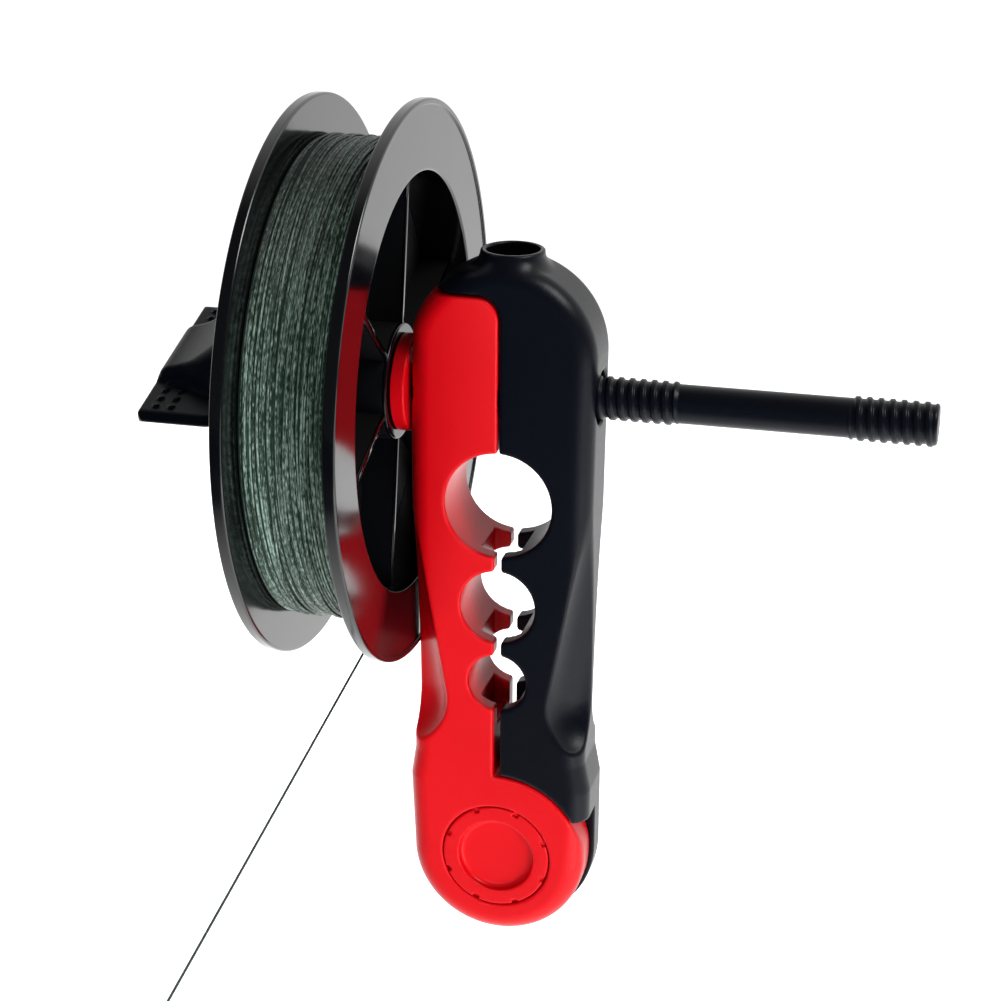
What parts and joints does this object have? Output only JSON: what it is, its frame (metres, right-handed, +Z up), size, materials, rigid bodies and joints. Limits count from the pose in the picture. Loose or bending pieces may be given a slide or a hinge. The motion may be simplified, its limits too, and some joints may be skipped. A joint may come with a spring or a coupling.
{
  "type": "fishing line winder",
  "caption": "Clip-on fishing line winder: hinged jaws grip a rod while a threaded spindle holds a spool of line between cones under a wing nut.",
  "frame": {"origin": "centre of the largest rod hole, midway between the front and back faces of the arms", "axes": "+X along the spindle towards its free end, +Y through the rod holes from front to back, +Z up"},
  "size_m": [0.1268, 0.1617, 0.143],
  "materials": {
    "black_body": "satin moulded",
    "red_jaw": "satin moulded",
    "black_spool": "polished",
    "black_spindle": "satin",
    "pin_steel": "zinc plated",
    "spring_steel": "drawn wire",
    "washer_fibre": "matt",
    "green_line": "braided"
  },
  "bodies": {
    "frame": {"main_body": "black_body", "spindle": "black_spindle", "hinge_pin": "pin_steel", "hinge_nut": "pin_steel", "jaw_spring": "spring_steel"},
    "jaw": {"clamp_jaw": "red_jaw", "hinge_cap": "red_jaw"},
    "carriage": {"spool_cone": "red_jaw", "drag_cone": "black_body", "drag_washer": "washer_fibre", "drag_spring": "spring_steel", "running_line": "green_line", "line_knot": "green_line"},
    "spool": {"spool_flange_left": "black_spool", "spool_flange_right": "black_spool", "spool_arbor": "black_spool", "line_core": "green_line", "line_winding": "green_line"},
    "nut": {"wing_nut": "black_body"}
  },
  "joints": [
    {"name": "carriage_slide", "type": "slide", "parent": "frame", "child": "carriage", "axis": [-1, 0, 0], "range_m": [0, 0.0055]},
    {"name": "jaw_swing", "type": "hinge", "parent": "frame", "child": "jaw", "pos_m": [0, 0, -0.0638], "axis": [0, -1, 0], "range_deg": [0, 3.5]},
    {"name": "nut_turn", "type": "hinge", "parent": "carriage", "child": "nut", "pos_m": [-0.045, 0, 0.0176], "axis": [-1, 0, 0], "range_deg": [0, 1080]},
    {"name": "spool_spin", "type": "hinge", "parent": "carriage", "child": "spool", "pos_m": [-0.02475, 0, 0.0176], "axis": [1, 0, 0], "continuous": true}
  ],
  "couplings": [
    {"joint": "carriage_slide", "follows": "nut_turn", "m_per_rad": 0.00028648},
    {"joint": "jaw_swing", "follows": "nut_turn", "ratio": 0.0031655}
  ]
}
